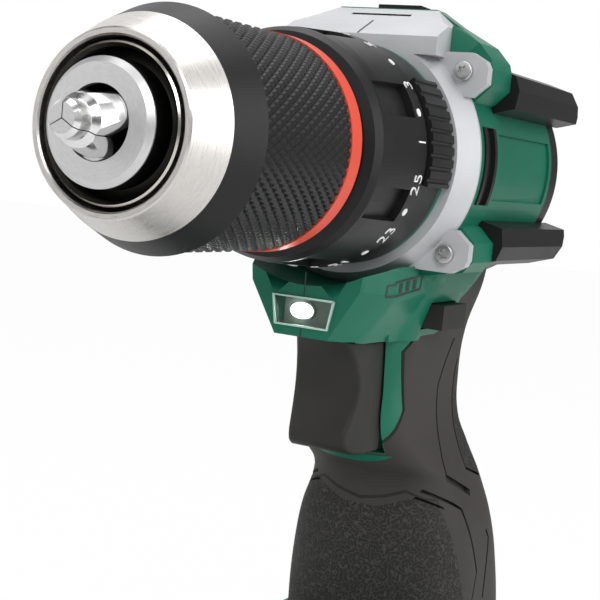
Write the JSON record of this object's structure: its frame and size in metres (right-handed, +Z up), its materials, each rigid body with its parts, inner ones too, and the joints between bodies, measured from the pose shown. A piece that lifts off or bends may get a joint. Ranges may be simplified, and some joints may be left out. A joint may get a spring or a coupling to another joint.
{
  "type": "cordless drill",
  "caption": "Cordless hammer drill with a keyless three-jaw chuck, torque collar, mode ring, trigger, lamp, rubber grip and slide-on battery pack.",
  "frame": {"origin": "centre of the flat underside of the battery pack, which is what the drill stands on", "axes": "+Z up through the handle, the chuck points along -Y, +X is the left side of the drill as its user holds it"},
  "size_m": [0.074, 0.1943, 0.2206],
  "materials": {
    "green_shell": "satin",
    "grip_rubber": "matt textured",
    "black_plastic": "satin",
    "green_ring": "satin",
    "cast_alloy": "sand-cast, clear-coated",
    "steel": "turned",
    "bright_steel": "polished",
    "brushed_ring": "circular brushed",
    "dark_metal": "satin black",
    "red_ring": "satin",
    "bronze": "sintered",
    "inner_plastic": "moulded",
    "motor_can": "laminated",
    "circuit_board": "lacquered",
    "clear_lens": "clear",
    "cell_wrap": "shrink wrap"
  },
  "bodies": {
    "housing": {"housing_left": "green_shell", "housing_right": "green_shell", "grip_left": "grip_rubber", "grip_right": "grip_rubber", "rear_cap": "black_plastic", "bumpers_left": "black_plastic", "bumpers_right": "black_plastic", "vent_inserts": "black_plastic", "led_lens": "clear_lens", "led_board": "circuit_board", "switch_body": "inner_plastic", "control_board": "circuit_board", "housing_screws": "steel", "terminal_block": "inner_plastic", "gear_case": "cast_alloy", "gear_case_screws": "steel", "spindle_bush": "bronze", "ring_gear_1": "steel", "motor_stator": "motor_can", "motor_plate": "steel", "rear_bearing": "steel", "trigger_spring": "steel", "clutch_spring": "steel"},
    "chuck_spindle": {"spindle": "steel", "chuck_body": "steel", "chuck_nose_ring": "bright_steel", "chuck_screw": "steel"},
    "chuck_sleeve": {"chuck_sleeve": "dark_metal", "chuck_band": "dark_metal", "chuck_front_ring": "brushed_ring", "chuck_red_ring": "red_ring", "chuck_nut": "steel"},
    "carrier_1": {"carrier_1": "steel"},
    "rotor": {"motor_rotor": "steel", "motor_fan": "inner_plastic"},
    "torque_collar": {"torque_collar": "black_plastic", "clutch_nut": "inner_plastic"},
    "mode_selector": {"mode_ring": "green_ring", "mode_grip": "black_plastic"},
    "trigger": {"trigger": "black_plastic"},
    "direction_selector": {"selector": "black_plastic"},
    "speed_selector": {"speed_slider": "black_plastic", "shift_fork": "steel", "ring_gear_2": "steel"},
    "battery_pack": {"pack_case": "black_plastic", "pack_lid": "black_plastic", "pack_cells": "cell_wrap", "latch_spring": "steel"},
    "pack_latch": {"pack_latch": "black_plastic"},
    "jaw_1": {"chuck_jaw_1": "bright_steel"},
    "planet_1_1": {"planet_1_1": "steel"},
    "planet_2_1": {"planet_2_1": "steel"},
    "jaw_2": {"chuck_jaw_2": "bright_steel"},
    "planet_1_2": {"planet_1_2": "steel"},
    "planet_2_2": {"planet_2_2": "steel"},
    "jaw_3": {"chuck_jaw_3": "bright_steel"},
    "planet_1_3": {"planet_1_3": "steel"},
    "planet_2_3": {"planet_2_3": "steel"}
  },
  "joints": [
    {"name": "spindle_spin", "type": "hinge", "parent": "housing", "child": "chuck_spindle", "pos_m": [0, 0, 0.185], "axis": [0, 1, 0], "continuous": true},
    {"name": "sleeve_turn", "type": "hinge", "parent": "chuck_spindle", "child": "chuck_sleeve", "pos_m": [0, 0, 0.185], "axis": [0, 1, 0], "range_deg": [0, 3600]},
    {"name": "jaw_1_slide", "type": "slide", "parent": "chuck_spindle", "child": "jaw_1", "axis": [0.2387, 0.9613, 0.1378], "range_m": [0, 0.021]},
    {"name": "jaw_2_slide", "type": "slide", "parent": "chuck_spindle", "child": "jaw_2", "axis": [-0.2387, 0.9613, 0.1378], "range_m": [0, 0.021]},
    {"name": "jaw_3_slide", "type": "slide", "parent": "chuck_spindle", "child": "jaw_3", "axis": [0, 0.9613, -0.2756], "range_m": [0, 0.021]},
    {"name": "planet_2_1_spin", "type": "hinge", "parent": "chuck_spindle", "child": "planet_2_1", "pos_m": [0, -0.0226, 0.19715], "axis": [0, 1, 0], "continuous": true},
    {"name": "planet_2_2_spin", "type": "hinge", "parent": "chuck_spindle", "child": "planet_2_2", "pos_m": [-0.01052, -0.0226, 0.17893], "axis": [0, 1, 0], "continuous": true},
    {"name": "planet_2_3_spin", "type": "hinge", "parent": "chuck_spindle", "child": "planet_2_3", "pos_m": [0.01052, -0.0226, 0.17893], "axis": [0, 1, 0], "continuous": true},
    {"name": "carrier_1_spin", "type": "hinge", "parent": "housing", "child": "carrier_1", "pos_m": [0, -0.0126, 0.185], "axis": [0, 1, 0], "continuous": true},
    {"name": "planet_1_1_spin", "type": "hinge", "parent": "carrier_1", "child": "planet_1_1", "pos_m": [0, -0.0126, 0.19715], "axis": [0, 1, 0], "continuous": true},
    {"name": "planet_1_2_spin", "type": "hinge", "parent": "carrier_1", "child": "planet_1_2", "pos_m": [-0.01052, -0.0126, 0.17893], "axis": [0, 1, 0], "continuous": true},
    {"name": "planet_1_3_spin", "type": "hinge", "parent": "carrier_1", "child": "planet_1_3", "pos_m": [0.01052, -0.0126, 0.17893], "axis": [0, 1, 0], "continuous": true},
    {"name": "rotor_spin", "type": "hinge", "parent": "housing", "child": "rotor", "pos_m": [0, 0.005, 0.185], "axis": [0, 1, 0], "continuous": true},
    {"name": "torque_turn", "type": "hinge", "parent": "housing", "child": "torque_collar", "pos_m": [0, -0.064, 0.185], "axis": [0, 1, 0], "range_deg": [-84.96, 254.88]},
    {"name": "mode_turn", "type": "hinge", "parent": "housing", "child": "mode_selector", "pos_m": [0, -0.0465, 0.185], "axis": [0, 1, 0], "range_deg": [-30, 30]},
    {"name": "trigger_pull", "type": "slide", "parent": "housing", "child": "trigger", "axis": [0, 1, 0], "range_m": [0, 0.0055], "stiffness_N_per_m": 600, "springref_m": -0.004, "deforming": ["trigger_spring"]},
    {"name": "direction_slide", "type": "slide", "parent": "housing", "child": "direction_selector", "axis": [1, 0, 0], "range_m": [-0.003, 0.003]},
    {"name": "speed_slide", "type": "slide", "parent": "housing", "child": "speed_selector", "axis": [0, -1, 0], "range_m": [0, 0.004]},
    {"name": "pack_slide", "type": "slide", "parent": "housing", "child": "battery_pack", "axis": [0, -1, 0], "range_m": [0, 0.08]},
    {"name": "latch_press", "type": "slide", "parent": "battery_pack", "child": "pack_latch", "axis": [0, 0, -1], "range_m": [0, 0.003], "stiffness_N_per_m": 400, "springref_m": -0.003, "deforming": ["latch_spring"]}
  ],
  "couplings": [
    {"joint": "jaw_1_slide", "follows": "sleeve_turn", "m_per_rad": 0.00033422},
    {"joint": "jaw_2_slide", "follows": "sleeve_turn", "m_per_rad": 0.00033422},
    {"joint": "jaw_3_slide", "follows": "sleeve_turn", "m_per_rad": 0.00033422},
    {"joint": "planet_2_1_spin", "follows": "spindle_spin", "ratio": -2.8},
    {"joint": "planet_2_2_spin", "follows": "spindle_spin", "ratio": -2.8},
    {"joint": "planet_2_3_spin", "follows": "spindle_spin", "ratio": -2.8},
    {"joint": "carrier_1_spin", "follows": "spindle_spin", "ratio": 4.5},
    {"joint": "planet_1_1_spin", "follows": "spindle_spin", "ratio": -12.6},
    {"joint": "planet_1_2_spin", "follows": "spindle_spin", "ratio": -12.6},
    {"joint": "planet_1_3_spin", "follows": "spindle_spin", "ratio": -12.6},
    {"joint": "rotor_spin", "follows": "spindle_spin", "ratio": 20.25}
  ]
}
